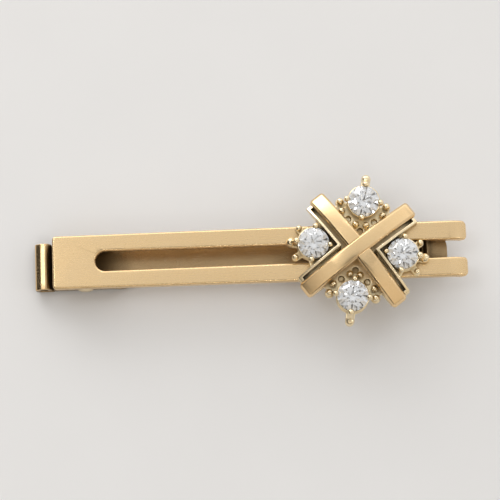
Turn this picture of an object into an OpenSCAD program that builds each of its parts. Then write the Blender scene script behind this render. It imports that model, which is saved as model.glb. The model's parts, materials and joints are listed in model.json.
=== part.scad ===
// Tie clip: a slotted two-rail front bar with a cross-and-stones ornament,
// and a sprung, toothed jaw hinged behind its closed end.
// Frame: X along the bar, its open end at +X. Y across the bar. Z towards the front.
// The origin is on the jaw's flat back, under the bar's centreline.

/* [Front bar] */
// Length of the flat front bar, closed end to open end
bar_len = 57.4; // [54:0.2:60]
// Width of the bar at its closed end
bar_w_closed = 7.4; // [7.2:0.1:8]
// Width over both rails at the open end
bar_w_open = 7.8; // [7.4:0.1:8.4]
// Thickness of the bar
bar_t = 1.2; // [1:0.1:1.4]
// Solid length before the slot starts
slot_start = 5.9; // [5.6:0.1:7]
// Slot width at its round end
slot_w_closed = 2.75; // [2.2:0.05:3]
// Slot width at the open end
slot_w_open = 2.4; // [2:0.05:2.8]
// Outside radius of the rail tips' backward bend
tip_r = 4.2; // [4:0.1:5]

/* [Clip] */
// Clear depth between the bar and the flat of the jaw
gap = 3.5; // [3.4:0.05:3.8]
// Sheet thickness of the jaw
jaw_t = 0.6; // [0.5:0.05:0.65]
// Width of the jaw at the thumb end
tail_w = 6.5; // [6.4:0.05:6.6]
// Width of the jaw at the toothed end
jaw_w = 5; // [4.4:0.1:5.4]
// Length of the folded thumb edge
fold_l = 2.4; // [2.2:0.05:2.5]
// Pitch of the teeth
tooth_pitch = 0.7; // [0.6:0.05:0.9]
// Radius of the hinge pin
pin_r = 0.7; // [0.6:0.05:0.75]

/* [Ornament] */
// Diameter of each stone
stone_d = 4.25; // [4:0.05:4.3]
// Distance of the top and bottom stones from the ornament's centre
long_at = 6.6; // [6.5:0.05:6.8]
// Distance of the left and right stones from the ornament's centre
side_at = 6.15; // [6.1:0.05:6.3]
// Half length of each cross band, measured flat
band_reach = 9.4; // [9:0.1:9.8]
// Width of each cross band
band_w = 2.3; // [2:0.1:2.4]
// Turn of the ornament on the bar
ornament_turn = -9; // [-15:1:0]

/* [Hidden] */
$fn = 72;

gold = [0.88, 0.74, 0.5];
pale_gold = [0.93, 0.83, 0.62];
steel = [0.72, 0.72, 0.72];
crystal = [0.93, 0.95, 0.97];

// heights
bar_z = jaw_t + gap;              // back of the bar
front_z = bar_z + bar_t;          // front of the bar
pin_z = bar_z / 2;
bracket_t = 0.6;
// lengths
x_open = 30.1;
x_closed = x_open - bar_len;
tip_deg = 40;
flat_end = x_open - tip_r * sin(tip_deg);
pin_x = x_closed + 4.3;
fold_x = x_closed - 0.35 - fold_l;  // the clip's closed extremity
jaw_bore_r = pin_r + 0.05;
pin_hole_r = pin_r + 0.005;

// ornament
orn_x = 14.8;
orn_y = 0;
plate_t = 0.6;
plate_z = front_z + plate_t;      // top of the gallery plate
stone_r = stone_d / 2;
crown_a = 34.5;
pav_a = 40.8;
table_r = 0.56 * stone_r;
girdle_h = 0.08;
girdle_z = plate_z + 1.92;        // middle of the girdle
dome_r = 18;                      // radius of the cross bands' dome
dome_top = plate_z + 3.45;
dome_z = dome_top - dome_r;
band_t = 0.8;

// ---------- helpers ----------
function unit(v) = v / norm(v);
function left_of(a, b) = let(u = unit(b - a)) [-u[1], u[0]];
// points of an arc of radius r in place of the corner b
function corner(a, b, c, r, n) =
  let(u = unit(a - b), v = unit(c - b), half = acos(u * v) / 2,
      m = b + unit(u + v) * r / sin(half), p = b + u * r / tan(half), q = b + v * r / tan(half))
  [for (i = [0:n]) m + r * unit((p - m) * (1 - i / n) + (q - m) * i / n)];
// a path moved sideways by d, mitred at its corners
function beside(p, d) = [for (i = [0:len(p) - 1])
  let(a = i > 0 ? left_of(p[i - 1], p[i]) : left_of(p[0], p[1]),
      b = i < len(p) - 1 ? left_of(p[i], p[i + 1]) : left_of(p[i - 1], p[i]), m = unit(a + b))
  p[i] + m * d / (m * a)];
function strip(p, t) = let(o = beside(p, t)) concat(p, [for (i = [len(p) - 1:-1:0]) o[i]]);
function rounded(l, w, r, n = 6) = [for (c = [[1, 1, 0], [-1, 1, 90], [-1, -1, 180], [1, -1, 270]])
  for (i = [0:n]) [c[0] * (l / 2 - r) + r * cos(c[2] + 90 * i / n), c[1] * (w / 2 - r) + r * sin(c[2] + 90 * i / n)]];
function bar_half(x) = (bar_w_closed + (bar_w_open - bar_w_closed) * (x - x_closed) / bar_len) / 2;
function slot_half(x) = (slot_w_closed + (slot_w_open - slot_w_closed) * (x - x_closed - slot_start) / (bar_len - slot_start)) / 2;

// turns a revolve so that its axis lies along Y and it starts at +Z, turning towards +X
module about_y(x, z, from = 0) translate([x, 0, z]) rotate([0, -90, -90]) rotate([0, 0, from]) children();
// a profile in X and Z, extruded along Y from y0 to y1
module side(y0, y1) translate([0, y1, 0]) rotate([90, 0, 0]) linear_extrude(y1 - y0) children();
module plan(z0, z1) translate([0, 0, z0]) linear_extrude(z1 - z0) children();

// ---------- front bar ----------
module rail_tip(s) {
  h0 = slot_half(flat_end);
  h1 = bar_half(flat_end);
  y0 = s > 0 ? h0 : -h1;
  y1 = s > 0 ? h1 : -h0;
  intersection() {
    about_y(flat_end, front_z - tip_r) rotate_extrude(angle = tip_deg)
      polygon([[tip_r - bar_t, y0], [tip_r, y0], [tip_r, y1], [tip_r - bar_t, y1]]);
    translate([x_open - 4.7, (y0 + y1) / 2, 0]) plan(0, 9) polygon(rounded(9.4, h1 - h0, 0.75));
  }
}

module front_bar() color(gold) {
  c = 0.5;
  xs = x_closed + slot_start;
  r = slot_half(xs);
  difference() {
    plan(bar_z, front_z) polygon(concat(
      corner([flat_end, bar_half(flat_end)], [x_closed, bar_half(x_closed)], [x_closed, 0], c, 5),
      corner([x_closed, 0], [x_closed, -bar_half(x_closed)], [flat_end, -bar_half(flat_end)], c, 5),
      [[flat_end, -bar_half(flat_end)], [flat_end, bar_half(flat_end)]]));
    plan(bar_z - 1, front_z + 1) polygon([[xs + r, r], [xs + r, -r],
      [flat_end + 1, -slot_half(flat_end + 1)], [flat_end + 1, slot_half(flat_end + 1)]]);
    translate([xs + r, 0, bar_z - 1]) cylinder(r = r, h = bar_t + 2);
  }
  for (s = [-1, 1]) rail_tip(s);
}

// ---------- hinge ----------
ear_in = 1.9;
ear_t = 0.6;

module hinge_bracket() color(gold) difference() {
  union() {
    plan(bar_z - bracket_t, bar_z) translate([pin_x - 0.5, 0]) polygon(rounded(3.8, 2 * (ear_in + ear_t), 0.3));
    for (s = [-1, 1]) {
      y = s > 0 ? ear_in : -ear_in - ear_t;
      side(y, y + ear_t) union() {
        translate([pin_x, pin_z]) circle(r = 1.15);
        translate([pin_x - 1.15, pin_z]) square([2.3, bar_z - bracket_t / 2 - pin_z]);
      }
    }
  }
  side(-5, 5) translate([pin_x, pin_z]) circle(r = pin_hole_r);
}

module hinge_pin() color(pale_gold) {
  reach = tail_w / 2 + 0.05;
  about_y(pin_x, pin_z) rotate_extrude() polygon([[0, -reach - 0.36], [0.62, -reach - 0.36], [1, -reach - 0.2], [1.1, -reach],
    [pin_r, -reach], [pin_r, reach], [1.1, reach], [1, reach + 0.2], [0.62, reach + 0.36], [0, reach + 0.36]]);
}

// torsion spring: one leg up against the bracket, a coil round the pin, one leg down on the jaw
wire_r = 0.2;
coil_r = 1.05;
coil_turns = 5.5;
coil_half = 1.2;
leg_len = 1.8;
function coil_point(t) = let(a = 90 + 360 * coil_turns * t)
  [pin_x + coil_r * cos(a), -coil_half + 2 * coil_half * t, pin_z + coil_r * sin(a)];
coil_steps = 112;
spring_path = concat(
  [[pin_x - leg_len - 0.2, -coil_half - 0.03, bar_z - bracket_t - wire_r - 0.02],
   [pin_x - leg_len / 2, -coil_half - 0.03, pin_z + coil_r + 0.04]],
  [for (i = [0:coil_steps]) coil_point(i / coil_steps)],
  [[pin_x - leg_len / 2, coil_half + 0.03, pin_z - coil_r - 0.04],
   [pin_x - leg_len - 1.6, coil_half + 0.03, jaw_t + wire_r + 0.02]]);

// a tube of 8 sides along a path, whose sides start from the Y axis
module tube(p, r, sides = 8) {
  n = len(p);
  dirs = [for (i = [0:n - 1]) unit(p[min(i + 1, n - 1)] - p[max(i - 1, 0)])];
  pts = [for (i = [0:n - 1]) let(d = dirs[i], u = unit(cross(d, [0, 1, 0])), v = cross(d, u))
    for (k = [0:sides - 1]) p[i] + r * (cos(360 * k / sides) * u + sin(360 * k / sides) * v)];
  polyhedron(points = pts, faces = concat(
    [[for (k = [0:sides - 1]) k]],
    [for (i = [0:n - 2]) for (k = [0:sides - 1]) let(a = i * sides + k, b = i * sides + (k + 1) % sides)
      [a, a + sides, b + sides, b]],
    [[for (k = [sides - 1:-1:0]) (n - 1) * sides + k]]));
}
module torsion_spring() color(steel) tube(spring_path, wire_r);

// ---------- jaw ----------
ramp_x0 = 12.8;
pad_x0 = 18.4;
pad_x1 = 25.3;
tooth_h = 0.35;
pad_top = bar_z - 0.05 - tooth_h;    // sheet top under the teeth
pad_z = pad_top - jaw_t;             // sheet underside there
bend_r = jaw_t + 0.05;
// outside corners of the folded thumb edge: a sloping outer face, a narrow flat top, a steep inner face
function fold(x, z) = [fold_x + x * fold_l / 2.4, z * fold_l / 2.4];
fold_end = fold(2.3, 0.95);
fold_in = fold(2.3, 1.6);
fold_top_in = fold(1.85, 2.56);
fold_top_out = fold(0.82, 2.38);
fold_out = fold(0, 1.8);
jaw_end = [27.1, pad_z - 0.95];

jaw_path = concat(
  [fold_end],
  corner(fold_end, fold_in, fold_top_in, bend_r, 4),
  corner(fold_in, fold_top_in, fold_top_out, bend_r, 5),
  corner(fold_top_in, fold_top_out, fold_out, bend_r, 4),
  corner(fold_top_out, fold_out, [fold_x, 0], bend_r, 5),
  corner(fold_out, [fold_x, 0], [0, 0], bend_r + 0.1, 8),
  corner([0, 0], [ramp_x0, 0], [pad_x0, pad_z], 2, 6),
  corner([ramp_x0, 0], [pad_x0, pad_z], [pad_x1, pad_z], 1.5, 6),
  corner([pad_x0, pad_z], [pad_x1, pad_z], jaw_end, 1.5, 6),
  [jaw_end]);

jaw_plan = concat(
  [[fold_x - 1, tail_w / 2], [fold_x - 1, -tail_w / 2]],
  [[-18.6, -tail_w / 2], [-14.2, -jaw_w / 2 - 0.1]],
  corner([-14.2, -jaw_w / 2 - 0.1], [27.2, -jaw_w / 2 + 0.2], [27.2, 0], 1.6, 6),
  corner([27.2, 0], [27.2, jaw_w / 2 - 0.2], [-14.2, jaw_w / 2 + 0.1], 1.6, 6),
  [[-14.2, jaw_w / 2 + 0.1], [-18.6, tail_w / 2]]);

wall_t = 0.6;
module jaw_wall(s) {
  y = s > 0 ? tail_w / 2 - wall_t : -tail_w / 2;
  side(y, y + wall_t) polygon(concat(
    [[x_closed - 0.3, jaw_t / 2]],
    corner([x_closed - 0.3, jaw_t / 2], [x_closed, 2.5], [pin_x - 1.2, 3.62], 0.3, 4),
    corner([x_closed, 2.5], [pin_x - 1.2, 3.62], [pin_x + 0.9, 3.62], 0.8, 4),
    corner([pin_x - 1.2, 3.62], [pin_x + 0.9, 3.62], [-18.3, 0.8], 0.8, 4),
    [[-18.3, 0.8], [-17.6, jaw_t / 2]]));
}

module clip_jaw() color(gold) difference() {
  union() {
    intersection() {
      side(-tail_w / 2, tail_w / 2) polygon(strip(jaw_path, jaw_t));
      plan(-1, 6) polygon(jaw_plan);
    }
    for (s = [-1, 1]) jaw_wall(s);
    // transverse teeth
    intersection() {
      side(-jaw_w / 2 + 0.12, jaw_w / 2 - 0.12) for (x = [pad_x0 + 0.8:tooth_pitch:pad_x1 - 0.9])
        polygon([[x, pad_top - 0.1], [x, pad_top], [x + tooth_pitch * 0.5, pad_top + tooth_h],
          [x + tooth_pitch * 0.62, pad_top + tooth_h], [x + tooth_pitch * 0.98, pad_top], [x + tooth_pitch * 0.98, pad_top - 0.1]]);
      plan(0, 9) polygon(jaw_plan);
    }
  }
  side(-5, 5) translate([pin_x, pin_z]) circle(r = jaw_bore_r);
}

// ---------- ornament ----------
module on_bar() translate([orn_x, orn_y, 0]) rotate([0, 0, ornament_turn]) children();
// the inside of the dome at radius r, over an arm along X
module under_dome(r, w0, w1, l0, l1, z0) intersection() {
  translate([l0, w0, z0]) cube([l1 - l0, w1 - w0, 6]);
  translate([0, w1 + 1, dome_z]) rotate([90, 0, 0]) cylinder(r = r, h = w1 - w0 + 2, $fn = 128);
}

band_half = asin(band_reach / dome_r);
module band() intersection() {
  about_y(0, dome_z, -band_half - 0.4) rotate_extrude(angle = 2 * band_half + 0.8, $fn = 128) polygon([
    [dome_r - band_t, -band_w / 2], [dome_r - 0.28, -band_w / 2], [dome_r, -band_w / 2 + 0.28],
    [dome_r, band_w / 2 - 0.28], [dome_r - 0.28, band_w / 2], [dome_r - band_t, band_w / 2]]);
  plan(plate_z - 1, dome_top + 1) polygon(rounded(2 * band_reach, band_w + 0.02, 0.45));
}
lap = dome_top - band_t / 2;
lap_w = band_w / 2 + 0.01;
module cross_band_over() color(gold) on_bar() rotate([0, 0, 45]) difference() {
  band();
  translate([-lap_w, -5, lap - 3]) cube([2 * lap_w, 10, 3]);
}
module cross_band_under() color(gold) on_bar() rotate([0, 0, 135]) difference() {
  band();
  translate([-lap_w, -5, lap]) cube([2 * lap_w, 10, 3]);
}

web_r = dome_r - band_t;
function is_long(a) = a == 90 || a == 270;
function at_of(a) = is_long(a) ? long_at : side_at;
function foot_of(a) = is_long(a) ? 3.35 : 3.1;
module gallery_plate() color(pale_gold) on_bar() difference() {
  union() {
    plan(front_z, plate_z) circle(r = 6.9);
    for (a = [0:90:270]) rotate([0, 0, a]) {
      translate([at_of(a), 0, front_z]) cylinder(r = 2.25, h = plate_t);
      // foot of the outer prong
      translate([at_of(a) + foot_of(a), 0, front_z]) cylinder(r = 0.62, h = plate_t);
      translate([at_of(a) + 1, -0.62, front_z]) cube([foot_of(a) - 1, 1.24, plate_t]);
    }
    for (m = [0, 1]) for (a = [45, 225]) mirror([m, 0, 0]) rotate([0, 0, a]) translate([0, -2, front_z]) cube([8.95, 3.15, plate_t]);
    for (a = [45, 135]) rotate([0, 0, a]) under_dome(web_r, -0.6, 0.6, -8.6, 8.6, front_z + 0.1);
    for (a = [90, 270]) rotate([0, 0, a]) for (s = [-1, 1]) translate([long_at - 0.22, s * 3.19, front_z]) cylinder(r = 0.62, h = plate_t);
    for (a = [0, 180]) rotate([0, 0, a]) for (s = [-1, 1]) translate([side_at, 0, front_z]) rotate([0, 0, s * 42]) {
      translate([1.6, -0.5, 0]) cube([1.4, 1, plate_t]);
      translate([3, 0, 0]) cylinder(r = 0.5, h = plate_t);
    }
  }
  for (a = [0:90:270]) rotate([0, 0, a]) {
    translate([at_of(a), 0, front_z - 1]) cylinder(r = 1.3, h = 9);
    translate([2.75, 0, front_z - 1]) cylinder(r = 0.42, h = 9, $fn = 32);
    if (is_long(a)) for (s = [-1, 1]) translate([long_at - 2.4, s * 1.8, front_z + 0.15]) cylinder(r = 0.42, h = 9, $fn = 32);
  }
  for (a = [45, 135]) rotate([0, 0, a]) for (x = [-6.9, -4.9, -2.9, 2.9, 4.9, 6.9])
    translate([x, 5, plate_z + 0.72]) rotate([90, 0, 0]) cylinder(r = abs(x) > 6 ? 0.36 : 0.55, h = 10, $fn = 32);
}

// V-shaped collar beside the arms, pierced along its length
collar_in = band_w / 2 + 0.5;
collar_out = collar_in + 0.38;
module collar_leg() difference() {
  union() {
    under_dome(dome_r - 0.4, -collar_out, -collar_in, collar_in, 8.85, plate_z);
    under_dome(dome_r - 0.4, -collar_in - 0.1, -band_w / 2 - 0.02, 8.4, 8.85, plate_z);
  }
  for (x = [3.2, 4.8, 6.3]) translate([x, 0, plate_z + 0.85]) rotate([90, 0, 0]) cylinder(r = x > 6 ? 0.42 : 0.55, h = 10, $fn = 32);
}
module collar() {
  rotate([0, 0, 45]) collar_leg();
  mirror([0, 1, 0]) rotate([0, 0, 45]) collar_leg();
}
module collar_right() color(pale_gold) on_bar() collar();
module collar_left() color(pale_gold) on_bar() rotate([0, 0, 180]) collar();

// round brilliant cut: eight mains, table up
function at(r, a, z) = [r * cos(a), r * sin(a), z];
stone_pts = let(
    ct = tan(crown_a), pt = tan(pav_a), g = girdle_h / 2, R = stone_r,
    star_r = (R + table_r * cos(22.5)) / 2, low_r = 0.2 * R)
  concat(
    [for (i = [0:7]) at(table_r, 45 * i, g + (R - table_r) * ct)],
    [for (i = [0:7]) at(star_r, 45 * i + 22.5, g + (R - star_r * cos(22.5)) * ct)],
    [for (i = [0:15]) at(R, 22.5 * i, g)],
    [for (i = [0:15]) at(R, 22.5 * i, -g)],
    [for (i = [0:7]) at(low_r, 45 * i + 22.5, -g - (R - low_r * cos(22.5)) * pt)],
    [[0, 0, -g - R * pt]]);
module stone(d) color(crystal) translate([d, 0, girdle_z]) hull()
  polyhedron(points = stone_pts, faces = [[for (i = [0:len(stone_pts) - 1]) i]]);
// the round space that the stone fills
module stone_seat(d, c = 0.02) translate([d, 0, girdle_z]) rotate_extrude() polygon([
  [0, -girdle_h / 2 - stone_r * tan(pav_a) - c * 1.5], [stone_r + c, -girdle_h / 2], [stone_r + c, girdle_h / 2],
  [table_r, girdle_h / 2 + (stone_r - table_r) * tan(crown_a) + c * 1.5], [0, girdle_h / 2 + (stone_r - table_r) * tan(crown_a) + c * 1.5]]);

foot_r = 1.75;
head_r = stone_r + 0.24;
head_z = girdle_z + 0.2;
// a prong from r0 at the plate to head_r at the girdle, with its tip turned over the stone
module prong(a, r, r0, tip, r_foot = 0) rotate([0, 0, a]) {
  lean = atan((head_r - r0) / (head_z - plate_z));
  translate([r0, 0, plate_z]) rotate([0, lean, 0]) cylinder(r1 = max(r, r_foot), r2 = r, h = (head_z - plate_z) / cos(lean), $fn = 32);
  translate([head_r - 0.04, 0, head_z]) sphere(r = tip, $fn = 40);
}
module setting(d, foot) color(pale_gold) intersection() {
  difference() {
    translate([d, 0, 0]) {
      prong(0, 0.38, foot - 0.22, 0.46, 0.48);
      translate([foot - 0.02, 0, plate_z + 0.4]) sphere(r = 0.66, $fn = 40);
      for (a = [90, 180, 270]) prong(a, 0.32, foot_r, 0.42);
      translate([0, 0, plate_z + 0.85]) rotate_extrude() translate([1.72, 0]) circle(r = 0.22, $fn = 24);
      translate([0, 0, plate_z + 1.5]) rotate_extrude() translate([2.1, 0]) circle(r = 0.2, $fn = 24);
    }
    stone_seat(d);
  }
  translate([-12, -12, plate_z]) cube([24, 24, 5]);
}

module bead(a, d, r, h) rotate([0, 0, a]) translate([d, 0, plate_z]) {
  cylinder(r = 0.3, h = h, $fn = 24);
  translate([0, 0, h - 0.02]) sphere(r = r, $fn = 40);
}
module beads_long() translate([long_at, 0, 0]) for (a = [94, 118, 167]) for (s = [-1, 1]) bead(s * a, 3.2, 0.5, 0.8);
module beads_side() translate([side_at, 0, 0]) for (s = [-1, 1]) bead(s * 42, 3, 0.44, 0.6);

module stone_right() on_bar() stone(side_at);
module stone_top() on_bar() rotate([0, 0, 90]) stone(long_at);
module stone_left() on_bar() rotate([0, 0, 180]) stone(side_at);
module stone_bottom() on_bar() rotate([0, 0, 270]) stone(long_at);
module setting_right() on_bar() setting(side_at, 3.1);
module setting_top() on_bar() rotate([0, 0, 90]) setting(long_at, 3.35);
module setting_left() on_bar() rotate([0, 0, 180]) setting(side_at, 3.1);
module setting_bottom() on_bar() rotate([0, 0, 270]) setting(long_at, 3.35);
module beads_right() color(pale_gold) on_bar() beads_side();
module beads_top() color(pale_gold) on_bar() rotate([0, 0, 90]) beads_long();
module beads_left() color(pale_gold) on_bar() rotate([0, 0, 180]) beads_side();
module beads_bottom() color(pale_gold) on_bar() rotate([0, 0, 270]) beads_long();

front_bar();
hinge_bracket();
hinge_pin();
torsion_spring();
clip_jaw();
gallery_plate();
cross_band_over();
cross_band_under();
collar_left();
collar_right();
setting_top();
setting_right();
setting_bottom();
setting_left();
stone_top();
stone_right();
stone_bottom();
stone_left();
beads_top();
beads_right();
beads_bottom();
beads_left();
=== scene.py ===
import json, math
import bpy, bmesh
from mathutils import Vector, Matrix
from mathutils.geometry import delaunay_2d_cdt

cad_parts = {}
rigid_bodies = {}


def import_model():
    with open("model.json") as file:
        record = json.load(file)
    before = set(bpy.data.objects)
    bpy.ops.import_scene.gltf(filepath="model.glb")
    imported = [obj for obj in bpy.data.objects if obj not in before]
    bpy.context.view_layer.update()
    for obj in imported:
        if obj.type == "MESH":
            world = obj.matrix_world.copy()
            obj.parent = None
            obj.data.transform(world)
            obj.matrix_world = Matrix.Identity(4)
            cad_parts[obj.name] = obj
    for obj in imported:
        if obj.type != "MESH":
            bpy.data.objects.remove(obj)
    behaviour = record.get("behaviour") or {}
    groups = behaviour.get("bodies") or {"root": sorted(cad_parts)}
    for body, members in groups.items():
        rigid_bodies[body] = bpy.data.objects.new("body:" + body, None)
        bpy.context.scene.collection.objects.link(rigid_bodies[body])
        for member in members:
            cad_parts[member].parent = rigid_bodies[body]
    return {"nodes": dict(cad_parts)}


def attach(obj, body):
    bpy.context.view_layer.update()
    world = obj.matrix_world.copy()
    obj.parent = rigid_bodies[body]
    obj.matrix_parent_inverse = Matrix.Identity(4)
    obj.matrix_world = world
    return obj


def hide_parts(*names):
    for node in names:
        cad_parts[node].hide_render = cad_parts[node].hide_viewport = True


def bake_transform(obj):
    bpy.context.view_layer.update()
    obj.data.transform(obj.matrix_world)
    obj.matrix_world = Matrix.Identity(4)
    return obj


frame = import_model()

scene = bpy.context.scene
for o in list(bpy.data.objects):
    if o.name in ("Cube", "Light", "Camera"):
        bpy.data.objects.remove(o)
NODES = frame["nodes"]
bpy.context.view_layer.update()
MM = 0.001
BAR, JAW = "bar_assembly", "jaw"

# ------------------------------------------------------------------ sizes, mm
JAW_T = 0.6
BAR_Z, BAR_T = 4.1, 1.2
FRONT_Z = BAR_Z + BAR_T
X_OPEN, BAR_LEN = 30.1, 57.4
X_CLOSED = X_OPEN - BAR_LEN
TIP_R, TIP_DEG = 4.2, 40.0
FLAT_END = X_OPEN - TIP_R * math.sin(math.radians(TIP_DEG))
PIN_X, PIN_Z = X_CLOSED + 4.3, 2.05
FOLD_X = X_CLOSED - 0.35 - 2.4
ORN_X, ORN_Y, ORN_TURN = 14.8, 0.0, -9.0
PLATE_Z = FRONT_Z + 0.6
STONE_R = 2.125
LONG_AT, SIDE_AT = 6.6, 6.15
GIRDLE_Z = PLATE_Z + 1.92
DOME_R, DOME_TOP = 18.0, PLATE_Z + 3.45
BAND_W, BAND_T, BAND_REACH = 2.3, 0.8, 9.4


def bar_half(x):
    return (7.4 + 0.4 * (x - X_CLOSED) / BAR_LEN) / 2


def slot_half(x):
    return (2.75 - 0.35 * (x - X_CLOSED - 5.9) / (BAR_LEN - 5.9)) / 2


# ------------------------------------------------------------------ materials
def nodes_of(name):
    m = bpy.data.materials.new(name)
    m.use_nodes = True
    nt = m.node_tree
    for n in list(nt.nodes):
        nt.nodes.remove(n)
    out = nt.nodes.new("ShaderNodeOutputMaterial")
    bs = nt.nodes.new("ShaderNodeBsdfPrincipled")
    nt.links.new(bs.outputs[0], out.inputs[0])
    return m, nt, bs


def add(nt, kind, **kw):
    n = nt.nodes.new(kind)
    for k, v in kw.items():
        if k.startswith("i_"):
            n.inputs[k[2:].replace("_", " ")].default_value = v
        else:
            setattr(n, k, v)
    return n


def noise(nt, vec, scale, detail=3.0, rough=0.5):
    n = add(nt, "ShaderNodeTexNoise")
    n.inputs["Scale"].default_value = scale
    n.inputs["Detail"].default_value = detail
    n.inputs["Roughness"].default_value = rough
    nt.links.new(vec, n.inputs["Vector"])
    return n.outputs["Fac"]


def mapped(nt, vec, scale, rot=(0, 0, 0)):
    mp = add(nt, "ShaderNodeMapping")
    mp.inputs["Scale"].default_value = scale
    mp.inputs["Rotation"].default_value = rot
    nt.links.new(vec, mp.inputs["Vector"])
    return mp.outputs[0]


def remap(nt, fac, a, b, lo, hi):
    mr = add(nt, "ShaderNodeMapRange")
    mr.clamp = True
    for i, v in zip(("From Min", "From Max", "To Min", "To Max"), (a, b, lo, hi)):
        mr.inputs[i].default_value = v
    nt.links.new(fac, mr.inputs["Value"])
    return mr.outputs[0]


def math_node(nt, op, a, b):
    m = add(nt, "ShaderNodeMath", operation=op)
    for i, v in enumerate((a, b)):
        if isinstance(v, (int, float)):
            m.inputs[i].default_value = v
        else:
            nt.links.new(v, m.inputs[i])
    return m.outputs[0]


def mix_col(nt, fac, a, b):
    m = add(nt, "ShaderNodeMix", data_type="RGBA")
    if isinstance(fac, (int, float)):
        m.inputs[0].default_value = fac
    else:
        nt.links.new(fac, m.inputs[0])
    for sock, v in ((m.inputs[6], a), (m.inputs[7], b)):
        if isinstance(v, tuple):
            sock.default_value = v
        else:
            nt.links.new(v, sock)
    return m.outputs[2]


def metal(name, base, deep, worn, rough=0.2, spread=0.1, grain=(900, 9000, 9000), grain_bump=0.25, wave=0.3, edge=0.06, painted_shade_strength=0.5, depth=0.8, dark=0.45, scratches=1.0, shade=(0.25, 0.8)):
    """A plated, polished metal: grain along X, faint waviness, scratches, bright worn edges, and painted shade that
    darkens its recesses.
    """
    m, nt, bs = nodes_of(name)
    vec = add(nt, "ShaderNodeTexCoord").outputs["Object"]
    link = nt.links.new
    g = noise(nt, mapped(nt, vec, grain), 1.0, 4.0, 0.6)
    fine = noise(nt, vec, 14000, 2.0)
    big = noise(nt, vec, 330, 3.0)
    wav = noise(nt, mapped(nt, vec, (300, 650, 650)), 1.0, 2.0)
    sc = add(nt, "ShaderNodeTexVoronoi", feature="DISTANCE_TO_EDGE")
    sc.inputs["Scale"].default_value = 1.0
    link(mapped(nt, vec, (260, 1500, 1500), (0.2, 0.3, 0.35)), sc.inputs["Vector"])
    scratch = remap(nt, sc.outputs["Distance"], 0.0, 0.035, 1.0, 0.0)
    scratch = math_node(nt, "MULTIPLY", scratch, remap(nt, noise(nt, vec, 900, 2.0), 0.5, 0.7, 0.0, scratches))
    # rounded-edge mask: where the bevelled normal leaves the true one
    bev = add(nt, "ShaderNodeBevel", samples=6)
    bev.inputs["Radius"].default_value = edge * MM * 2.2
    geo = add(nt, "ShaderNodeNewGeometry")
    dot = add(nt, "ShaderNodeVectorMath", operation="DOT_PRODUCT")
    link(bev.outputs[0], dot.inputs[0])
    link(geo.outputs["Normal"], dot.inputs[1])
    wear = remap(nt, dot.outputs["Value"], 0.995, 0.90, 0.0, 1.0)
    wear = math_node(nt, "MULTIPLY", wear, remap(nt, noise(nt, vec, 2200, 3.0), 0.35, 0.62, 0.25, 1.0))
    # Painted shade: ambient occlusion darkens recesses, gaps and corners towards a dark tone of the deep colour,
    # standing in for the shadow there. It also roughens them.
    ao = add(nt, "ShaderNodeAmbientOcclusion", samples=6)
    ao.inputs["Distance"].default_value = depth * MM
    painted_shade = remap(nt, ao.outputs["AO"], shade[0], shade[1], painted_shade_strength, 0.0)
    col = mix_col(nt, remap(nt, big, 0.3, 0.7, 0.0, 0.35), base, tuple(0.5 * a + 0.5 * b for a, b in zip(base, deep)))
    col = mix_col(nt, remap(nt, g, 0.3, 0.7, 0.0, 0.16), col, deep)
    col = mix_col(nt, wear, col, worn)
    # the painted shade is mixed into the colour here
    col = mix_col(nt, painted_shade, col, tuple(c * dark for c in deep[:3]) + (1,))
    link(col, bs.inputs["Base Color"])
    bs.inputs["Metallic"].default_value = 1.0
    r = remap(nt, g, 0.25, 0.75, rough - spread * 0.4, rough + spread * 0.6)
    r = math_node(nt, "ADD", r, remap(nt, big, 0.35, 0.75, 0.0, spread * 0.5))
    r = math_node(nt, "ADD", r, math_node(nt, "MULTIPLY", scratch, 0.12))
    r = math_node(nt, "ADD", r, math_node(nt, "MULTIPLY", painted_shade, 0.25))
    link(r, bs.inputs["Roughness"])
    b1 = add(nt, "ShaderNodeBump")
    b1.inputs["Strength"].default_value = wave
    b1.inputs["Distance"].default_value = 0.02 * MM
    link(wav, b1.inputs["Height"])
    b2 = add(nt, "ShaderNodeBump")
    b2.inputs["Strength"].default_value = grain_bump
    b2.inputs["Distance"].default_value = 0.004 * MM
    h = math_node(nt, "ADD", g, math_node(nt, "MULTIPLY", fine, 0.4))
    h = math_node(nt, "SUBTRACT", h, math_node(nt, "MULTIPLY", scratch, 0.8))
    link(h, b2.inputs["Height"])
    link(b1.outputs[0], b2.inputs["Normal"])
    link(b2.outputs[0], bs.inputs["Normal"])
    return m


# All metals below carry painted shade in their recesses. It is set by its strength, a dark tone, an occlusion depth
# and an occlusion range.
GOLD = metal("gold_plate_satin", (0.88, 0.65, 0.37, 1), (0.74, 0.49, 0.22, 1), (0.97, 0.82, 0.58, 1), rough=0.23, spread=0.12, wave=0.07,
             grain_bump=0.12, painted_shade_strength=0.6, dark=0.3, scratches=0.5)
BAND_GOLD = metal("gold_band_polished", (0.90, 0.66, 0.37, 1), (0.79, 0.52, 0.24, 1), (0.99, 0.86, 0.63, 1), rough=0.19, spread=0.1,
                  grain=(2600, 2600, 2600), grain_bump=0.1, wave=0.2, painted_shade_strength=0.75, dark=0.25, scratches=0.5)
CAST_GOLD = metal("gold_cast_bright", (0.95, 0.80, 0.54, 1), (0.80, 0.60, 0.31, 1), (1.0, 0.94, 0.78, 1), rough=0.13, spread=0.12,
                  grain=(3800, 3800, 3800), grain_bump=0.22, wave=0.45, painted_shade_strength=1.0, depth=1.3, dark=0.09, shade=(0.16, 0.62))
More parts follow.
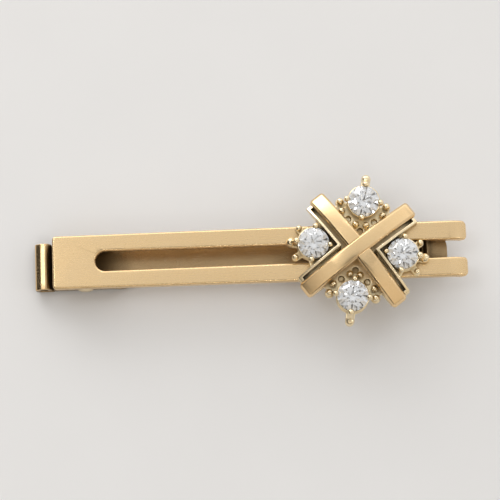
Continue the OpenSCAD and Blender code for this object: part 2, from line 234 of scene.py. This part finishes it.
# Painted shade with a steep occlusion range: the narrow gaps between the collars and the bands are painted near black,
# as shadow, while the open plate stays bright.
PLATE_GOLD = metal("gold_cast_satin", (0.97, 0.82, 0.54, 1), (0.84, 0.63, 0.33, 1), (1.0, 0.93, 0.74, 1), rough=0.30, spread=0.12,
                   grain=(3800, 3800, 3800), grain_bump=0.22, wave=0.4, painted_shade_strength=1.0, depth=1.3, dark=0.07, shade=(0.30, 0.50))
COLLAR_GOLD = metal("gold_cast_edge", (0.95, 0.80, 0.54, 1), (0.80, 0.60, 0.31, 1), (1.0, 0.94, 0.78, 1), rough=0.13, spread=0.12,
                    grain=(3800, 3800, 3800), grain_bump=0.22, wave=0.45, painted_shade_strength=1.0, depth=1.3, dark=0.07, shade=(0.28, 0.8))
# Strong painted shade over a 6 mm occlusion depth: the jaw lying under the bar, seen through the slot, is painted dark
# bronze as if in shadow.
JAW_GOLD = metal("gold_plate_rolled", (0.84, 0.60, 0.33, 1), (0.66, 0.43, 0.20, 1), (0.95, 0.80, 0.56, 1), rough=0.20, spread=0.12,
                 wave=0.15, painted_shade_strength=0.97, depth=6.0, dark=0.12, scratches=0.7, shade=(0.52, 0.82))
STEEL = metal("spring_wire_drawn", (0.56, 0.55, 0.53, 1), (0.38, 0.36, 0.34, 1), (0.74, 0.73, 0.71, 1), rough=0.28, spread=0.15,
              grain=(7000, 7000, 7000), grain_bump=0.3, painted_shade_strength=0.7)


def gem():
    m, nt, bs = nodes_of("stone_brilliant")
    vec = add(nt, "ShaderNodeTexCoord").outputs["Object"]
    n = noise(nt, vec, 900, 2.0)
    nt.links.new(mix_col(nt, remap(nt, n, 0.3, 0.7, 0.0, 1.0), (0.97, 0.985, 1.0, 1), (0.93, 0.955, 0.985, 1)), bs.inputs["Base Color"])
    bs.inputs["Transmission Weight"].default_value = 1.0
    bs.inputs["IOR"].default_value = 2.3
    nt.links.new(remap(nt, noise(nt, vec, 5000, 2.0), 0.4, 0.8, 0.0, 0.02), bs.inputs["Roughness"])
    bs.inputs["Specular IOR Level"].default_value = 0.5
    return m


GEM = gem()


# ------------------------------------------------------------------ mesh tools
def finish_mesh(bm, name, body, mat, replaces=(), smooth=True, weight=True, sharp=None):
    bmesh.ops.remove_doubles(bm, verts=bm.verts, dist=1e-4)
    bmesh.ops.dissolve_degenerate(bm, edges=bm.edges, dist=1e-4)
    bmesh.ops.recalc_face_normals(bm, faces=bm.faces)
    if sharp is not None:
        for e in bm.edges:
            if len(e.link_faces) == 2 and e.calc_face_angle(0) > math.radians(sharp):
                e.smooth = False
    for f in bm.faces:
        f.smooth = smooth
    for v in bm.verts:
        v.co *= MM
    me = bpy.data.meshes.new(name)
    bm.to_mesh(me)
    bm.free()
    me.materials.append(mat)
    o = bpy.data.objects.new(name, me)
    scene.collection.objects.link(o)
    if weight:
        w = o.modifiers.new("weighted", "WEIGHTED_NORMAL")
        w.keep_sharp = True
        w.weight = 80
    if body:
        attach(o, body)
    if replaces:
        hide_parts(*replaces)
    return o


def inset(pts, d):
    """A closed outline, counter-clockwise, moved inwards by d."""
    out = []
    n = len(pts)
    for i in range(n):
        a, b, c = pts[i - 1], pts[i], pts[(i + 1) % n]
        u = Vector((b[0] - a[0], b[1] - a[1])).normalized()
        v = Vector((c[0] - b[0], c[1] - b[1])).normalized()
        n1, n2 = Vector((-u.y, u.x)), Vector((-v.y, v.x))
        m = n1 + n2
        m = m / max(0.35, m.length_squared / 2)
        out.append((b[0] + m.x * d, b[1] + m.y * d))
    return out


def arc_prof(r, k=3):
    """Edge profile of radius r: (inset, drop) from the side to the flat."""
    return [(r * (1 - math.cos(a)), r * (1 - math.sin(a))) for a in [math.pi / 2 * i / k for i in range(k + 1)]]


def slab(bm, outline, z0, z1, top, bottom, to=lambda x, y, z: (x, y, z)):
    """A closed plate between z0 and z1 over an outline, with edge profiles along its top and bottom edges."""
    rings = [(d, z0 + h) for d, h in reversed(bottom)] + [(d, z1 - h) for d, h in top]
    loops = []
    for d, z in rings:
        loops.append([bm.verts.new(to(x, y, z)) for x, y in inset(outline, d)])
    n = len(outline)
    for a, b in zip(loops, loops[1:]):
        for i in range(n):
            j = (i + 1) % n
            bm.faces.new((a[i], a[j], b[j], b[i]))
    for loop, (d, z), turn in ((loops[0], rings[0], True), (loops[-1], rings[-1], False)):
        flat = [Vector(p) for p in inset(outline, d)]
        tris = delaunay_2d_cdt(flat, [(i, (i + 1) % n) for i in range(n)], [], 1, 1e-7)
        for t in tris[2]:
            ids = [tris[3][i][0] for i in t]
            bm.faces.new([loop[i] for i in (reversed(ids) if turn else ids)])


def cut_x(bm, xs, no=(1, 0, 0)):
    for x in xs:
        bmesh.ops.bisect_plane(bm, geom=list(bm.verts) + list(bm.edges) + list(bm.faces), dist=1e-5, plane_co=Vector(no) * x, plane_no=no)


def corner(a, b, c, r, n=6):
    a, b, c = Vector(a), Vector(b), Vector(c)
    u, v = (a - b).normalized(), (c - b).normalized()
    half = math.acos(max(-1, min(1, u.dot(v)))) / 2
    m = b + (u + v).normalized() * r / math.sin(half)
    p, q = b + u * r / math.tan(half), b + v * r / math.tan(half)
    return [tuple(m + r * ((p - m) * (1 - i / n) + (q - m) * i / n).normalized()) for i in range(n + 1)]


def bore(bm, x, z, r):
    """Drills a round hole along Y right through a closed mesh."""
    made = []
    c = bmesh.new()
    bmesh.ops.create_cone(c, cap_ends=True, segments=48, radius1=r, radius2=r, depth=12,
                          matrix=Matrix.Translation((x, 0, z)) @ Matrix.Rotation(math.radians(90), 4, "X"))
    for b, name in ((bm, "bored"), (c, "drill")):
        bmesh.ops.recalc_face_normals(b, faces=b.faces)
        me = bpy.data.meshes.new(name)
        b.to_mesh(me)
        b.free()
        o = bpy.data.objects.new(name, me)
        scene.collection.objects.link(o)
        made.append(o)
    mod = made[0].modifiers.new("bore", "BOOLEAN")
    mod.operation, mod.solver, mod.object = "DIFFERENCE", "EXACT", made[1]
    out = bpy.data.meshes.new_from_object(made[0].evaluated_get(bpy.context.evaluated_depsgraph_get()))
    for o in made:
        bpy.data.objects.remove(o)
    bm = bmesh.new()
    bm.from_mesh(out)
    bpy.data.meshes.remove(out)
    return bm


# ------------------------------------------------------------------ front bar
def make_bar():
    bm = bmesh.new()
    end = FLAT_END + TIP_R * math.radians(TIP_DEG)
    hb, hs = bar_half, slot_half
    xs = X_CLOSED + 5.9
    r = hs(xs)
    pts = []
    # counter-clockwise: bottom left corner, lower edge, lower tip, slot, upper tip, upper edge, top left corner
    pts += corner((X_CLOSED, 0), (X_CLOSED, -hb(X_CLOSED)), (end, -hb(end)), 0.5, 6)
    pts += corner((X_CLOSED, -hb(X_CLOSED)), (end, -hb(end)), (end, -hs(end)), 0.75, 8)
    pts += corner((end, -hb(end)), (end, -hs(end)), (xs + r, -r), 0.6, 8)
    pts += [(xs + r + r * math.cos(a), r * math.sin(a)) for a in [math.radians(-90 - 180 * i / 20) for i in range(21)]]
    pts += corner((xs + r, r), (end, hs(end)), (end, hb(end)), 0.6, 8)
    pts += corner((end, hs(end)), (end, hb(end)), (X_CLOSED, hb(X_CLOSED)), 0.75, 8)
    pts += corner((end, hb(end)), (X_CLOSED, hb(X_CLOSED)), (X_CLOSED, 0), 0.5, 6)
    edge_top = [(0, 0.3), (0.014, 0.21), (0.055, 0.125), (0.125, 0.055), (0.21, 0.014), (0.3, 0)]
    slab(bm, pts, BAR_Z, FRONT_Z, edge_top, arc_prof(0.12))
    cut_x(bm, [FLAT_END + 0.12 * i for i in range(0, 25)])
    cut_x(bm, [X_CLOSED + 3 * i for i in range(1, 18)])
    for v in bm.verts:
        if v.co.x > FLAT_END:
            phi = (v.co.x - FLAT_END) / TIP_R
            rho = TIP_R - (FRONT_Z - v.co.z)
            v.co.x = FLAT_END + rho * math.sin(phi)
            v.co.z = FRONT_Z - TIP_R + rho * math.cos(phi)
    return finish_mesh(bm, "front_bar_polished", BAR, GOLD, ["front_bar"])


# ------------------------------------------------------------------ ornament
def dome(u, r=DOME_R):
    return DOME_TOP - DOME_R + math.sqrt(max(0.0, r * r - u * u))


def orn(deg):
    return Matrix.Translation((ORN_X, ORN_Y, 0)) @ Matrix.Rotation(math.radians(ORN_TURN + deg), 4, "Z")


def move(bm, mat):
    for v in bm.verts:
        v.co = mat @ v.co


def band_part(bm, u0, u1, r0=0.45, r1=0.45):
    h = BAND_W / 2
    pts = (corner((u0, -h), (u1, -h), (u1, h), r1, 7) + corner((u1, -h), (u1, h), (u0, h), r1, 7)
           + corner((u1, h), (u0, h), (u0, -h), r0, 7) + corner((u0, h), (u0, -h), (u1, -h), r0, 7))
    edge = [(0, 0.34), (0.008, 0.30), (0.03, 0.262), (0.26, 0.035), (0.30, 0.008), (0.35, 0)]
    slab(bm, pts, -BAND_T, 0, edge, arc_prof(0.08, 2))


def to_dome(bm, drop=0.0):
    for v in bm.verts:
        u = v.co.x
        v.co.z = dome(u) - drop + v.co.z / math.cos(math.asin(min(1, abs(u) / DOME_R)))


def make_bands():
    steps = [-9.2 + 0.4 * i for i in range(47)]
    bm = bmesh.new()
    band_part(bm, -BAND_REACH, BAND_REACH)
    cut_x(bm, steps)
    to_dome(bm)
    move(bm, orn(45))
    finish_mesh(bm, "cross_band_over_polished", BAR, BAND_GOLD, ["cross_band_over"])
    bm = bmesh.new()
    band_part(bm, -BAND_REACH, -0.74, r1=0.4)
    band_part(bm, 0.74, BAND_REACH, r0=0.4)
    cut_x(bm, steps)
    to_dome(bm, 0.05)
    move(bm, orn(135))
    finish_mesh(bm, "cross_band_under_polished", BAR, BAND_GOLD, ["cross_band_under"])


def make_stone(name, node, at, deg):
    """A round brilliant, cut out of a cylinder one facet at a time."""
    R, ct, pt, g = STONE_R, math.tan(math.radians(34.5)), math.tan(math.radians(40.8)), 0.04
    table_r = 0.56 * R
    bm = bmesh.new()
    bmesh.ops.create_cone(bm, cap_ends=True, segments=128, radius1=R - 0.004, radius2=R - 0.004, depth=6)

    def cut(n, p):
        n = Vector(n).normalized()
        r = bmesh.ops.bisect_plane(bm, geom=list(bm.verts) + list(bm.edges) + list(bm.faces), dist=1e-6, plane_co=p, plane_no=n, clear_outer=True)
        edges = [e for e in r["geom_cut"] if isinstance(e, bmesh.types.BMEdge)]
        if edges:
            bmesh.ops.holes_fill(bm, edges=edges)

    def through(a, b, c, up):
        n = (b - a).cross(c - a).normalized()
        if n.z * up < 0:
            n = -n
        cut(n, a)

    def at_(r, a, z):
        a = math.radians(a)
        return Vector((r * math.cos(a), r * math.sin(a), z))
    tz = g + (R - table_r) * ct
    star_r = (R + table_r * math.cos(math.radians(22.5))) / 2
    low_r = 0.2 * R
    cut((0, 0, 1), (0, 0, tz))
    c22 = math.cos(math.radians(22.5))
    for i in range(8):
        a = 45 * i
        star = at_(star_r, a + 22.5, g + (R - star_r * c22) * ct)
        star2 = at_(star_r, a - 22.5, g + (R - star_r * c22) * ct)
        low = at_(low_r, a + 22.5, -g - (R - low_r * c22) * pt)
        low2 = at_(low_r, a - 22.5, -g - (R - low_r * c22) * pt)
        through(at_(table_r, a, tz), star, star2, 1)
        through(at_(table_r, a, tz), at_(table_r, a + 45, tz), star, 1)
        through(at_(R, a, g), at_(R, a + 22.5, g), star, 1)
        through(at_(R, a, g), at_(R, a - 22.5, g), star2, 1)
        through(at_(R, a, -g), low, low2, -1)
        through(at_(R, a, -g), at_(R, a + 22.5, -g), low, -1)
        through(at_(R, a, -g), at_(R, a - 22.5, -g), low2, -1)
    bmesh.ops.dissolve_limit(bm, angle_limit=math.radians(0.3), verts=bm.verts, edges=bm.edges)
    move(bm, orn(deg) @ Matrix.Translation((at, 0, GIRDLE_Z)) @ Matrix.Rotation(math.radians(11 + deg * 0.3), 4, "Z"))
    return finish_mesh(bm, name, BAR, GEM, [node], smooth=False, weight=False)


# ------------------------------------------------------------------ jaw
RAMP_X0, PAD_X0, PAD_X1, TOOTH_H = 12.8, 18.4, 25.3, 0.35
PAD_TOP = BAR_Z - 0.05 - TOOTH_H
PAD_Z = PAD_TOP - JAW_T
JAW_END = (27.1, PAD_Z - 0.95)


def make_jaw():
    import bisect
    path, tang = [], []

    def bend(a, b, c, r, n):
        """An arc in place of the corner b, with its tangents."""
        u, v = Vector(b) - Vector(a), Vector(c) - Vector(b)
        turn = 1 if u.x * v.y - u.y * v.x > 0 else -1
        pts = corner(a, b, c, r, n)
        u.normalize()
        v.normalize()
        m = Vector(pts[0]) + Vector((-u.y, u.x)) * turn * r
        for p in pts:
            q = (Vector(p) - m) / r
            path.append(p)
            tang.append(Vector((-q.y, q.x)) * turn)
    fold = [(FOLD_X + x, z) for x, z in ((2.3, 0.95), (2.3, 1.6), (1.85, 2.56), (0.82, 2.38), (0, 1.8), (0, 0))]
    path.append(fold[0])
    tang.append(Vector((0, 1)))
    for i, n in ((1, 8), (2, 12), (3, 9), (4, 11)):
        bend(fold[i - 1], fold[i], fold[i + 1], JAW_T + 0.05, n)
    bend(fold[4], fold[5], (0, 0), JAW_T + 0.15, 14)
    flat_i = len(path) - 1
    bend((0, 0), (RAMP_X0, 0), (PAD_X0, PAD_Z), 2, 10)
    bend((RAMP_X0, 0), (PAD_X0, PAD_Z), (PAD_X1, PAD_Z), 1.5, 10)
    bend((PAD_X0, PAD_Z), (PAD_X1, PAD_Z), JAW_END, 1.5, 10)
    path.append(JAW_END)
    tang.append((Vector(JAW_END) - Vector((PAD_X1, PAD_Z))).normalized())
    run = [0.0]
    for p, q in zip(path, path[1:]):
        run.append(run[-1] + math.hypot(q[0] - p[0], q[1] - p[1]))
    total = run[-1]

    def at(s):
        s = max(0.0, min(total, s))
        i = min(len(run) - 2, max(0, bisect.bisect_right(run, s) - 1))
        f = (s - run[i]) / (run[i + 1] - run[i])
        p = Vector(path[i]).lerp(Vector(path[i + 1]), f)
        t = (tang[i] * (1 - f) + tang[i + 1] * f).normalized()
        return p, t

    flat0 = run[flat_i]

    def s_of_x(x):
        """Where the path, past the roll, reaches x."""
        for i in range(flat_i, len(path) - 1):
            if path[i][0] <= x <= path[i + 1][0]:
                f = (x - path[i][0]) / (path[i + 1][0] - path[i][0])
                return run[i] + f * (run[i + 1] - run[i])
        return total
    ss = set(run)
    ss |= {s_of_x(x) for x in (-28.4, -27.62, -27.55, -27.45, -27.36, -27.3, -27.2, -27.0)}
    ss |= {s_of_x(-26.7 + 0.3 * i) for i in range(32)}
    ss |= {s_of_x(-16.6 + 0.5 * i) for i in range(4)}
    ss |= {s_of_x(-12 + 2 * i) for i in range(11)}
    for i in range(8):
        x = PAD_X0 + 0.8 + 0.7 * i
        for dx in (0, 0.02, 0.31, 0.37, 0.41, 0.455, 0.66, 0.69):
            ss.add(s_of_x(x + dx))
    ss |= {total - 1.6 + 1.6 * math.sin(math.radians(90 * i / 12)) for i in range(13)}
    order = sorted(ss)
    keep = [order[0]]
    for s in order[1:]:
        if s - keep[-1] > 0.012:
            keep.append(s)

    def half(s):
        x = at(s)[0][0]
        if s < flat0 or x < -18.6:
            return 3.25
        if x < -14.2:
            f = (x + 18.6) / 4.4
            f = f * f * (3 - 2 * f)
            w = 3.25 - 0.65 * f
        else:
            w = 2.6 - 0.3 * (x + 14.2) / 41.4
        k = total - s
        if k < 1.6:
            w = w - 1.6 + math.sqrt(max(0, 1.6 ** 2 - (1.6 - k) ** 2))
        return w

    def wall(s):
        """Height of the side walls above the back of the jaw."""
        if s < flat0:
            return JAW_T
        x = at(s)[0][0]
        prof = [(-27.6, 0.6), (-27.45, 1.6), (-27.34, 2.25), (-27.2, 2.5), (-27.0, 2.6), (-26.4, 2.83), (-24.7, 3.44), (-24.45, 3.53), (-24.2, 3.58), (-23.9, 3.61),
                (-22.5, 3.62), (-22.2, 3.58), (-21.9, 3.44), (-21.6, 3.25), (-18.9, 1.2), (-18.5, 0.94), (-18.1, 0.74), (-17.6, 0.6)]
        if x <= prof[0][0] or x >= prof[-1][0]:
            return JAW_T
        for (xa, za), (xb, zb) in zip(prof, prof[1:]):
            if xa <= x <= xb:
                return za + (zb - za) * (x - xa) / (xb - xa)
        return JAW_T

    def tooth(x):
        t = (x - (PAD_X0 + 0.8)) / 0.7
        if t < 0 or t >= 8:
            return 0.0
        u = (t % 1) * 0.7
        if u < 0.34:
            return TOOTH_H * u / 0.34
        if u < 0.43:
            return TOOTH_H
        return max(0.0, TOOTH_H * (1 - (u - 0.43) / 0.25))
    cols = [0, 0.4, 0.8, 1.2, 1.6, 1.9, 2.14]
    bm = bmesh.new()
    rings = []
    for s in keep:
        p, t = at(s)
        nrm = Vector((-t.y, t.x))
        w, H, x = half(s), wall(s), p[0]
        q = max(0.0, min(1.0, (H - JAW_T) / 0.8))
        e = 0.13
        ri, ro = 0.12 * q, e + 0.5 * q
        W = w
        flatw = W - e if q == 0 else W - JAW_T - ri
        lim = (W - e) * (1 - q) + (W - JAW_T - ri) * q
        k = min(1.0, (min(lim, W - e) - 0.02) / 2.14) if W < 2.3 else 1.0
        on_flat = s > flat0
        half_loop = []
        for c in cols:
            y = c * k
            h = JAW_T
            if on_flat and x > PAD_X0 and y < w - 0.28:
                h += tooth(x)
            half_loop.append((y, h))
        # floor to inner wall
        half_loop.append((lim, JAW_T))
        inner = (W - e) * (1 - q) + (W - JAW_T) * q
        for a in (30, 60, 90):
            a = math.radians(a)
            half_loop.append((lim + (inner - lim) * math.sin(a), JAW_T + ri * (1 - math.cos(a))))
        half_loop.append((inner, max(JAW_T + ri, H - e) if q > 0 else JAW_T))
        top_in = inner + e * q
        for a in (0, 30, 60, 90):
            a = math.radians(a)
            half_loop.append((inner + (top_in - inner) * (1 - math.cos(a)), H - e * q * (1 - math.sin(a))))
        for a in (0, 30, 60, 90):
            a = math.radians(a)
            half_loop.append((W - e + e * math.sin(a), H - e + e * math.cos(a)))
        for a in (0, 18, 36, 54, 72, 90):
            a = math.radians(a)
            half_loop.append((W - ro + ro * math.cos(a), ro - ro * math.sin(a)))
        low = []
        for c in reversed(cols):
            y = min(c * k, W - ro)
            h = 0.0
            low.append((y, h))
        loop = half_loop + low
        full = loop[:-1] + [(0, 0)] + [(-y, h) for y, h in reversed(loop[1:-1])]
        rings.append([bm.verts.new((p[0] + nrm[0] * h, y, p[1] + nrm[1] * h)) for y, h in full])
    n = len(rings[0])
    for a, b in zip(rings, rings[1:]):
        for i in range(n):
            j = (i + 1) % n
            bm.faces.new((a[i], a[j], b[j], b[i]))
    bm.faces.new(rings[0])
    bm.faces.new(list(reversed(rings[-1])))
    bm = bore(bm, PIN_X, PIN_Z, 0.75)
    return finish_mesh(bm, "clip_jaw_formed", JAW, JAW_GOLD, ["clip_jaw"], sharp=48)


# ------------------------------------------------------------------ spring
def make_spring():
    coil_r, turns, half, wire = 1.05, 5.5, 1.2, 0.2
    pts = [Vector((PIN_X - 2.0, -half - 0.03, BAR_Z - 0.6 - wire - 0.02)), Vector((PIN_X - 0.9, -half - 0.03, PIN_Z + coil_r + 0.04))]
    for i in range(221):
        t = i / 220
        a = math.radians(90 + 360 * turns * t)
        pts.append(Vector((PIN_X + coil_r * math.cos(a), -half + 2 * half * t, PIN_Z + coil_r * math.sin(a))))
    pts += [Vector((PIN_X - 0.9, half + 0.03, PIN_Z - coil_r - 0.04)), Vector((PIN_X - 3.4, half + 0.03, JAW_T + wire + 0.02))]
    bm = bmesh.new()
    rings = []
    side = 14
    for i, p in enumerate(pts):
        d = (pts[min(i + 1, len(pts) - 1)] - pts[max(i - 1, 0)]).normalized()
        u = d.cross(Vector((0, 1, 0))).normalized()
        v = d.cross(u)
        steps = [(0.0, 1.0)]
        if i == 0:
            steps = [(0.0, 0.6), (0.03, 0.88), (0.08, 1.0)]
        if i == len(pts) - 1:
            steps = [(-0.08, 1.0), (-0.03, 0.88), (0.0, 0.6)]
        for back, f in steps:
            rings.append([bm.verts.new(p + d * back + wire * f * (math.cos(2 * math.pi * k / side) * u + math.sin(2 * math.pi * k / side) * v)) for k in range(side)])
    for a, b in zip(rings, rings[1:]):
        for i in range(side):
            bm.faces.new((a[i], a[(i + 1) % side], b[(i + 1) % side], b[i]))
    bm.faces.new(rings[0])
    bm.faces.new(list(reversed(rings[-1])))
    o = finish_mesh(bm, "torsion_spring_wire", None, STEEL, ["torsion_spring"], weight=False)
    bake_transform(o)
    return o


# ------------------------------------------------------------------ cast pieces: fused and softened from their CAD solids
def cast(names, new, mat, voxel=0.06, smooth=3, keep=0.4):
    bm = bmesh.new()
    for n in names:
        bm.from_mesh(NODES[n].data)
    for v in bm.verts:
        v.co /= MM
    bmesh.ops.remove_doubles(bm, verts=bm.verts, dist=2e-4)
    me = bpy.data.meshes.new(new + "_src")
    bm.to_mesh(me)
    bm.free()
    o = bpy.data.objects.new(new + "_src", me)
    scene.collection.objects.link(o)
    rm = o.modifiers.new("r", "REMESH")
    rm.mode, rm.voxel_size, rm.use_smooth_shade = "VOXEL", voxel, True
    sm = o.modifiers.new("s", "SMOOTH")
    sm.factor, sm.iterations = 0.5, smooth
    de = o.modifiers.new("d", "DECIMATE")
    de.ratio = keep
    dg = bpy.context.evaluated_depsgraph_get()
    made = bpy.data.meshes.new_from_object(o.evaluated_get(dg))
    bpy.data.objects.remove(o)
    bm = bmesh.new()
    bm.from_mesh(made)
    bpy.data.meshes.remove(made)
    return finish_mesh(bm, new, BAR, mat, names, weight=False)


def keep_cad(name, mat, width=0.05, seg=2, angle=28):
    o = NODES[name]
    for i in range(len(o.data.materials)):
        o.data.materials[i] = mat
    w = o.modifiers.new("weld", "WELD")
    w.merge_threshold = 2e-6
    b = o.modifiers.new("bevel", "BEVEL")
    b.limit_method, b.angle_limit, b.width, b.segments = "ANGLE", math.radians(angle), width * MM, seg
    b.harden_normals = True
    b.use_clamp_overlap = True
    return o


make_bar()
make_bands()
for nm, at, deg in (("right", SIDE_AT, 0), ("top", LONG_AT, 90), ("left", SIDE_AT, 180), ("bottom", LONG_AT, 270)):
    make_stone("stone_" + nm + "_cut", "stone_" + nm, at, deg)
    cast(["setting_" + nm], "setting_" + nm + "_cast", CAST_GOLD, 0.07, 2)
    cast(["beads_" + nm], "beads_" + nm + "_cast", CAST_GOLD, 0.07, 1)
make_jaw()
make_spring()
cast(["gallery_plate"], "gallery_plate_cast", PLATE_GOLD, 0.08, 2, keep=0.3)
cast(["collar_left"], "collar_left_cast", COLLAR_GOLD, 0.06, 1, keep=0.3)
cast(["collar_right"], "collar_right_cast", COLLAR_GOLD, 0.06, 1, keep=0.3)
keep_cad("hinge_bracket", GOLD)
keep_cad("hinge_pin", CAST_GOLD, 0.04)

# ------------------------------------------------------------------ floor, light, camera
fm, fnt, fbs = nodes_of("floor_pale")
fv = add(fnt, "ShaderNodeTexCoord").outputs["Object"]
fnt.links.new(mix_col(fnt, remap(fnt, noise(fnt, fv, 60, 4.0), 0.3, 0.7, 0.0, 1.0), (0.82, 0.82, 0.825, 1), (0.835, 0.835, 0.84, 1)), fbs.inputs["Base Color"])
fbs.inputs["Roughness"].default_value = 0.75
bpy.ops.mesh.primitive_plane_add(size=3.0, location=(0, 0, -0.00002))
floor = bpy.context.object
floor.name = "floor"
floor.data.materials.append(fm)

w = bpy.data.worlds.new("studio")
scene.world = w
w.use_nodes = True
wn = w.node_tree
for n in list(wn.nodes):
    wn.nodes.remove(n)
wo = wn.nodes.new("ShaderNodeOutputWorld")
bg = wn.nodes.new("ShaderNodeBackground")
wn.links.new(bg.outputs[0], wo.inputs[0])
tc = wn.nodes.new("ShaderNodeTexCoord")
sep = wn.nodes.new("ShaderNodeSeparateXYZ")
wn.links.new(tc.outputs["Generated"], sep.inputs[0])
X_, Y_, Z_ = sep.outputs["X"], sep.outputs["Y"], sep.outputs["Z"]
# pale overhead and towards +X and +Y, brightest low towards +Y, dark low down elsewhere
level = remap(wn, Z_, 0.10, 0.58, 0.04, 0.77)
level = math_node(wn, "MAXIMUM", level, remap(wn, Y_, 0.30, 0.60, 0.0, 0.77))
level = math_node(wn, "MAXIMUM", level, remap(wn, X_, 0.40, 0.80, 0.0, 0.76))
level = math_node(wn, "ADD", level, remap(wn, Y_, 0.17, 0.60, 0.0, 0.20))
level = math_node(wn, "ADD", level, remap(wn, Y_, 0.58, 0.85, 0.0, 0.75))
west = remap(wn, X_, -0.50, -0.86, 0.0, 0.88)
west = math_node(wn, "MULTIPLY", west, remap(wn, Y_, 0.30, 0.55, 1.0, 0.0))
level = math_node(wn, "MULTIPLY", level, math_node(wn, "SUBTRACT", 1.0, west))
# a dark round patch where the camera stands
cdot = wn.nodes.new("ShaderNodeVectorMath")
cdot.operation = "DOT_PRODUCT"
wn.links.new(tc.outputs["Generated"], cdot.inputs[0])
cdot.inputs[1].default_value = (0.02, -0.2, 0.98)
level = math_node(wn, "MULTIPLY", level, remap(wn, cdot.outputs["Value"], 0.972, 0.988, 1.0, 0.12))
level = math_node(wn, "MAXIMUM", level, 0.03)
tint = mix_col(wn, remap(wn, Y_, -0.05, -0.5, 0.0, 1.0), (1.0, 0.99, 0.975, 1), (1.0, 0.91, 0.79, 1))
sky = add(wn, "ShaderNodeMix", data_type="RGBA")
wn.links.new(tint, sky.inputs[6])
sky.inputs[7].default_value = (1.0, 0.985, 0.97, 1)
wn.links.new(sky.outputs[2], bg.inputs["Color"])
lp = wn.nodes.new("ShaderNodeLightPath")
seen = add(wn, "ShaderNodeMix", data_type="FLOAT")
wn.links.new(lp.outputs["Is Camera Ray"], seen.inputs[0])
wn.links.new(lp.outputs["Is Camera Ray"], sky.inputs[0])
wn.links.new(level, seen.inputs[2])
seen.inputs[3].default_value = 0.80
wn.links.new(seen.outputs[0], bg.inputs["Strength"])


def area(name, loc, target, size, radiance, color=(1, 1, 1)):
    """A square soft light whose face has the given brightness."""
    d = bpy.data.lights.new(name, "AREA")
    d.energy = radiance * math.pi * size * size
    d.color = color
    d.size = size
    o = bpy.data.objects.new(name, d)
    scene.collection.objects.link(o)
    o.location = loc
    o.rotation_mode = "QUATERNION"
    o.rotation_quaternion = (Vector(target) - Vector(loc)).to_track_quat("-Z", "Y")
    return o


C = Vector((0.0, 0.0, 0.005))
area("key", C + 0.52 * Vector((-0.44, 0.82, 0.36)), C, 0.26, 2.2, (1, 0.985, 0.96))
area("strip", C + 0.5 * Vector((-0.40, 0.20, 0.89)), C, 0.12, 3.0)
for i, d in enumerate(((0.05, 0.62, 0.78), (-0.64, 0.12, 0.76), (0.02, -0.55, 0.83), (0.74, -0.14, 0.66))):
    area("spark_%d" % i, C + 0.5 * Vector(d), C, 0.024, 26)

scene.view_settings.view_transform = "Standard"
scene.view_settings.look = "None"
scene.view_settings.exposure = 0.0

cam = bpy.data.cameras.new("cam")
cam.lens = 150
cam.sensor_width = 36
co = bpy.data.objects.new("cam", cam)
scene.collection.objects.link(co)
scene.camera = co
tilt, roll = math.radians(10.0), math.radians(2.15)
back = Vector((0, -math.sin(tilt), math.cos(tilt)))
u0 = Vector((0, math.cos(tilt), math.sin(tilt)))
up_v = u0 * math.cos(roll) + Vector((1, 0, 0)) * math.sin(roll)
right = up_v.cross(back)
m = Matrix((right, up_v, back)).transposed().to_4x4()
aim = Vector((0.0, 0.0008, 0.005))
dist = 0.0690 * 150 / 36
m.translation = aim + back * dist
co.matrix_world = m
cam.clip_start, cam.clip_end = 0.01, 10

bpy.context.view_layer.update()
